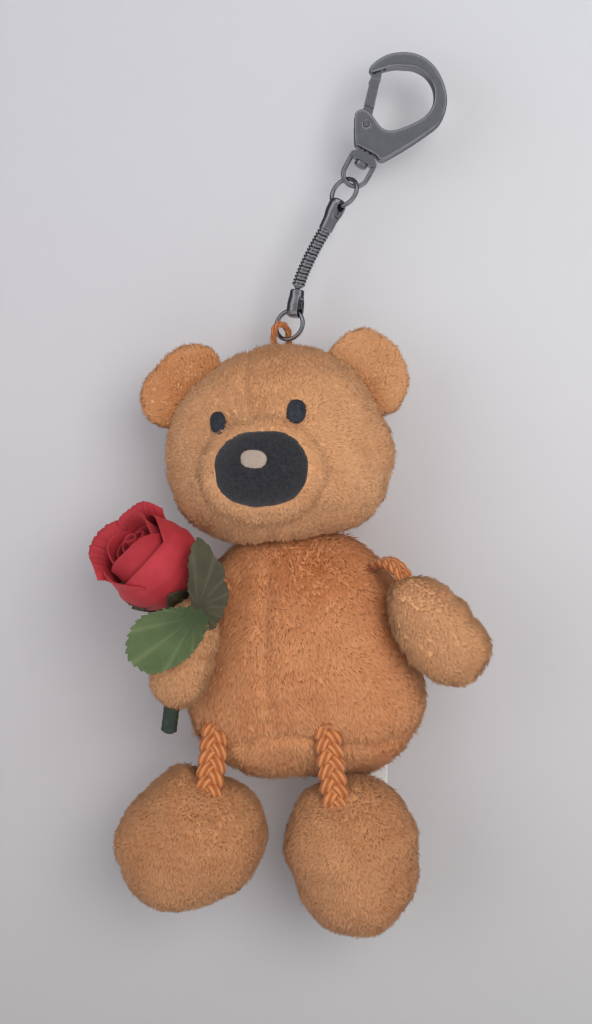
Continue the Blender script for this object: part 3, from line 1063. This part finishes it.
def leaf(name, outline, centre, normal, up, mat, slot, node, teeth, depth, curl, fan, dark_at=None, n=70, m=56):
    """Cloth leaf: the outline as polar radii about its centre with saw teeth, creased along its veins."""
    normal, up = unit(normal), unit(up)
    sd = np.cross(up, normal)
    th = np.linspace(0, 2 * math.pi, 4 * n, endpoint=False)
    r0 = outline(th)
    saw = (th * teeth / (2 * math.pi)) % 1.0
    r = r0 * (1 + depth * (saw - 0.5))
    s = np.linspace(0, 1, m) ** 0.85
    G = np.concatenate([np.zeros((1, 2)), (np.stack([np.cos(th), np.sin(th)], 1)[None] * (s[1:, None, None] * r[None, :, None])).reshape(-1, 2)])
    # veins run from the foot point across the blade
    foot_pt = np.array(fan)
    d = G - foot_pt
    a = np.arctan2(d[:, 1], d[:, 0])
    dist = np.linalg.norm(d, axis=1)
    vein = np.clip(np.cos(a * 15) * 0.5 + 0.5, 0, 1) ** 8
    vein *= np.clip(dist / 3.0, 0, 1)
    H = curl(G) + 0.16 * vein + 0.05 * np.sin(a * 60)
    P = np.asarray(centre) + sd * G[:, :1] + up * G[:, 1:] + normal * H[:, None]
    k4 = 4 * n
    j = np.arange(k4)
    ring = lambda i: 1 + (i - 1) * k4 + j
    nx = lambda i: 1 + (i - 1) * k4 + (j + 1) % k4
    Fs = [np.stack([ring(i), ring(i + 1), nx(i + 1), nx(i)], -1) for i in range(1, m - 1)]
    jj = np.arange(0, k4, 2)
    Fs.append(np.stack([np.zeros(len(jj), int), 1 + jj, 1 + (jj + 1) % k4, 1 + (jj + 2) % k4], -1))
    F = np.concatenate(Fs)
    K = len(P)
    top, bot = P + normal * 0.17, P - normal * 0.17
    rim = ring(m - 1)
    rn = nx(m - 1)
    Fr = np.stack([rn, rim, rim + K, rn + K], -1)
    V = np.concatenate([top, bot])
    Fa = np.concatenate([F, F[:, ::-1] + K, Fr[:, ::-1]])
    span = np.abs(G).max() * 2.05
    U = np.tile(G / span + 0.5, (2, 1))
    shade = np.zeros(len(G)) if dark_at is None else np.exp(-(np.linalg.norm(G - np.array(dark_at[:2]), axis=1) / dark_at[2]) ** 2) * dark_at[3]
    ob = make_mesh(name, V, Fa, U[Fa.reshape(-1)], {"vein": np.tile(vein * 0.55, 2), "shade": np.tile(shade, 2)})
    ob.data.update()
    return dress(ob, mat, "arm_right", slot, node)


LC = px(166, 645, -32.0)
kk_ = pk(-32)
leaf_low = polar_points((0, 0), [((x - 166) * kk_, (645 - y) * kk_) for x, y in [(210, 616), (205, 633), (196, 648), (182, 662), (168, 669), (149, 674), (138, 668), (128, 660), (126, 646), (129, 633), (140, 617), (155, 612), (175, 608), (195, 607)]])
leaf("rose_leaf_lower_cloth", leaf_low, LC, (0.05, -1, 0.10), (0, 0, 1), M_LEAF, "leaf", "rose_leaf_lower", 30, 0.075, lambda G: 0.9 - 0.016 * (G ** 2).sum(1) + 0.5 * np.sin(G[:, 0] * 0.35) - 0.08 * G[:, 1], (6.5, 6.0), dark_at=(6.5, 6.5, 6.5, 0.75))
SC = px(212, 580, -27.5)
kk_ = pk(-27.5)
leaf_side = polar_points((0, 0), [((x - 212) * kk_, (580 - y) * kk_) for x, y in [(197, 536), (206, 541), (214, 558), (223, 580), (229, 592), (224, 610), (214, 630), (203, 634), (196, 622), (192, 600), (190, 575), (191, 552)]])
leaf("rose_leaf_side_cloth", leaf_side, SC, (0.15, -1, -0.05), (0, 0, 1), M_LEAF_DARK, "leaf_dark", "rose_leaf_side", 26, 0.07, lambda G: -0.012 * G[:, 1] ** 2 + 0.5 * np.sin(G[:, 1] * 0.4), (-3.0, -6.0), n=50, m=40)
UC = px(137, 598, -20.5)
leaf_up = polar_points((0, 0), [(-5.0, 3.2), (-3.6, 0.2), (-1.0, -1.7), (2.4, -2.4), (5.0, -1.4), (4.0, 1.6), (0.5, 2.8), (-3.0, 3.6)])
leaf("rose_leaf_upper_cloth", leaf_up, UC, (-0.3, -1, -0.4), (0, 0, 1), M_LEAF_DARK, "leaf_dark", "rose_leaf_upper", 16, 0.06, lambda G: -0.02 * (G ** 2).sum(1), (0, 2), n=36, m=26)

STEM = np.array([(-52.6, -14, -118.8), (-52.7, -13.9, -124), (-53.3, -13.2, -134), (-55, -12.4, -147.4)])
d = np.concatenate([[0], np.cumsum(np.linalg.norm(np.diff(STEM, axis=0), axis=1))])
t = np.linspace(0, d[-1], 60)
P = np.stack([np.interp(t, d, STEM[:, i]) for i in range(3)], 1)
q = sweep(P, 1.12, 1.12, (1, 0, 0), m=16, ply=0.05, plies=5, twist=1.0)
dress(make_mesh("rose_stem_wire", q[0], q[1], q[2]), M_STEM, "arm_right", "stem_tape", "rose_stem")
ta = unit(STEM[3] - STEM[2])
t = np.linspace(-8.6, 1.5, 60)
P = STEM[3] + ta * t[:, None]
wrap = 1 + 0.05 * np.abs(np.sin(t * 1.9))
tip_r = np.clip((1.5 - t) / 0.5, 0.35, 1) ** 0.5
q = sweep(P, 1.75 * wrap * tip_r, 1.6 * wrap * tip_r, (1, 0, 0.2), m=22)
dress(make_mesh("rose_stem_tape_wrap", q[0], q[1], q[2]), M_STEM_TAPE, "arm_right", "stem_tape", "rose_stem_tape")

# ------------------------------------------------------------------ label
nu, nv = 40, 34
lo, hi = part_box("care_label")
u = np.linspace(0, 1, nu)[:, None] * np.ones((1, nv))
v = np.ones((nu, 1)) * np.linspace(0, 1, nv)[None, :]
lx0, lx1, lz0, lz1, ly = lo[0] * 1000, hi[0] * 1000, lo[2] * 1000, hi[2] * 1000, (lo[1] + hi[1]) * 500
P = np.stack([lx0 + v * (lx1 - lx0), ly + 0.35 * np.sin(u * 2.4) + 0.2 * np.sin(v * 4 + u * 3) - 3.4 * np.clip((u - 0.72) / 0.28, 0, 1) ** 1.6, lz0 + u * (lz1 + 1.6 - lz0)], -1).reshape(-1, 3)
q = sheet(P, np.broadcast_to(np.array([0, -1.0, 0]), P.shape), 0.28, nu, nv)
dress(make_mesh("care_label_ribbon", q[0], q[1], q[2]), M_LABEL, "label", "label", "care_label")

# ------------------------------------------------------------------ CAD hardware keeps its own mesh
SHOWN = {"snap_hook_body": M_GUN, "gate_lever": M_GUN, "gate_pin": M_GUN, "swivel_rivet": M_GUN, "swivel_eye": M_GUN, "ring_upper": M_GUN, "ring_lower": M_GUN, "chain_cap_lower": M_GUN, "chain_cap_upper": M_GUN, "gate_spring": M_SPRING}
SOFTEN = {"snap_hook_body": (0.00015, 90), "gate_lever": (0.0001, 12), "swivel_eye": (0.00009, 8), "chain_cap_lower": (0.00009, 8), "chain_cap_upper": (0.00009, 8), "swivel_rivet": (0.00009, 5)}
for nm, ob in NODES.items():
    if ob.hide_render:
        continue
    mat = SHOWN.get(nm, M_CLOTH_BODY if nm == "neck_plug" else M_STUFF)
    ob.data.materials.clear()
    ob.data.materials.append(mat)
    if nm in SOFTEN:
        voxel, turns = SOFTEN[nm]
        wd = ob.modifiers.new("weld", "WELD")
        wd.merge_threshold = 2e-6
        rm = ob.modifiers.new("cast", "REMESH")
        rm.mode = "VOXEL"
        rm.voxel_size = voxel
        rm.use_smooth_shade = True
        sm = ob.modifiers.new("tumbled", "SMOOTH")
        sm.factor = 0.5
        sm.iterations = turns

# ------------------------------------------------------------------ stage
def stage_mesh(name, verts, mat):
    me = bpy.data.meshes.new(name)
    me.from_pydata(verts, [], [(0, 1, 2, 3)])
    me.materials.append(mat)
    ob = bpy.data.objects.new(name, me)
    scene.collection.objects.link(ob)
    return ob


def paper():
    """Pale table top seen from above; it shows only to the camera from the front."""
    m, nt, b = nodes_of("backdrop_paper")
    tc = nt.nodes.new("ShaderNodeTexCoord")
    sp = nt.nodes.new("ShaderNodeSeparateXYZ")
    nt.links.new(tc.outputs["Object"], sp.inputs[0])
    mr = nt.nodes.new("ShaderNodeMapRange")
    mr.inputs["From Min"].default_value = -0.225
    mr.inputs["From Max"].default_value = 0.03
    nt.links.new(sp.outputs["Z"], mr.inputs["Value"])
    vert = ramp(nt, [(0.0, lin((174, 173, 173))), (0.28, lin((186, 184, 185))), (0.6, lin((195, 194, 196))), (1.0, lin((194, 195, 198)))], mr.outputs["Result"])
    mx = nt.nodes.new("ShaderNodeMapRange")
    mx.inputs["From Min"].default_value = -0.10
    mx.inputs["From Max"].default_value = 0.05
    nt.links.new(sp.outputs["X"], mx.inputs["Value"])
    side = ramp(nt, [(0.0, lin((244, 242, 243))), (1.0, (1, 1, 1, 1))], mx.outputs["Result"])
    col = mixc(nt, 1.0, vert, side, "MULTIPLY")
    df = nt.nodes.new("ShaderNodeBsdfDiffuse")
    nt.links.new(col, df.inputs["Color"])
    tr = nt.nodes.new("ShaderNodeBsdfTransparent")
    lp = nt.nodes.new("ShaderNodeLightPath")
    geo = nt.nodes.new("ShaderNodeNewGeometry")
    dot = nt.nodes.new("ShaderNodeVectorMath")
    dot.operation = "DOT_PRODUCT"
    dot.inputs[1].default_value = (0, -1, 0)
    nt.links.new(geo.outputs["Incoming"], dot.inputs[0])
    gt = nt.nodes.new("ShaderNodeMath")
    gt.operation = "GREATER_THAN"
    gt.inputs[1].default_value = 0.80
    nt.links.new(dot.outputs["Value"], gt.inputs[0])
    mu = nt.nodes.new("ShaderNodeMath")
    mu.operation = "MULTIPLY"
    nt.links.new(gt.outputs[0], mu.inputs[0])
    nt.links.new(lp.outputs["Is Camera Ray"], mu.inputs[1])
    ms = nt.nodes.new("ShaderNodeMixShader")
    nt.links.new(mu.outputs[0], ms.inputs[0])
    nt.links.new(tr.outputs[0], ms.inputs[1])
    nt.links.new(df.outputs[0], ms.inputs[2])
    out = nt.nodes["Material Output"]
    nt.links.new(ms.outputs[0], out.inputs["Surface"])
    return m


M_PAPER = paper()
M_FLOOR = plain_material("floor_paper", (206, 205, 207), (212, 211, 213), 3, 0.95, spec=0.1)
back_y = 0.0125
stage_mesh("backdrop", [(-0.6, back_y, -0.7), (0.6, back_y, -0.7), (0.6, back_y, 0.6), (-0.6, back_y, 0.6)], M_PAPER)
bd = bpy.data.objects["backdrop"]
bd.visible_diffuse = False
bd.visible_glossy = False
bd.visible_transmission = False
bd.visible_shadow = False
stage_mesh("floor", [(-3, -3, -0.228), (3, -3, -0.228), (3, 3, -0.228), (-3, 3, -0.228)], M_FLOOR)

bpy.data.objects["floor"].visible_shadow = False

world = bpy.data.worlds.new("room")
scene.world = world
world.use_nodes = True
bg = world.node_tree.nodes["Background"]
bg.inputs["Color"].default_value = (0.93, 0.95, 1.0, 1)
bg.inputs["Strength"].default_value = 0.50


wt = world.node_tree
wc = wt.nodes.new("ShaderNodeTexCoord")
ws = wt.nodes.new("ShaderNodeSeparateXYZ")
wt.links.new(wc.outputs["Generated"], ws.inputs[0])
wm = wt.nodes.new("ShaderNodeMath")
wm.operation = "MULTIPLY_ADD"
wm.inputs[1].default_value = -0.5
wm.inputs[2].default_value = 0.5
wt.links.new(ws.outputs["Y"], wm.inputs[0])
room = ramp(wt, [(0.0, (0.30, 0.31, 0.33, 1)), (0.40, (0.12, 0.12, 0.13, 1)), (0.62, (0.30, 0.30, 0.31, 1)), (0.80, (2.6, 2.6, 2.7, 1)), (0.90, (1.1, 1.1, 1.12, 1)), (1.0, (0.72, 0.72, 0.74, 1))], wm.outputs[0])
wl = wt.nodes.new("ShaderNodeLightPath")
wt.links.new(mixc(wt, wl.outputs["Is Glossy Ray"], (0.93, 0.95, 1.0, 1), room), bg.inputs["Color"])


def area(name, loc, target, size, power, color=(1, 1, 1)):
    la = bpy.data.lights.new(name, "AREA")
    la.energy = power
    la.size = size
    la.color = color
    ob = bpy.data.objects.new(name, la)
    ob.location = loc
    ob.rotation_euler = (Vector(target) - Vector(loc)).to_track_quat("-Z", "Y").to_euler()
    ob.visible_glossy = False
    scene.collection.objects.link(ob)


mid = (-0.026, -0.01, -0.11)
area("key", (0.22, -0.60, 0.04), mid, 0.45, 2.9, (1.0, 0.985, 0.96))
area("fill", (-0.50, -0.45, -0.05), mid, 0.50, 1.5, (0.95, 0.97, 1.0))
area("low_fill", (0.02, -0.50, -0.42), mid, 0.40, 0.6, (1.0, 0.98, 0.96))
area("rim_back", (0.25, 0.45, 0.10), mid, 0.35, 1.0)

cam = bpy.data.cameras.new("camera")
co = bpy.data.objects.new("camera", cam)
scene.collection.objects.link(co)
co.location = (-0.02609, -0.330, -0.09843)
co.rotation_euler = (math.radians(90), 0, 0)
cam.lens = 48.91
cam.sensor_width = 36.0
cam.clip_start = 0.01
cam.clip_end = 20
scene.camera = co
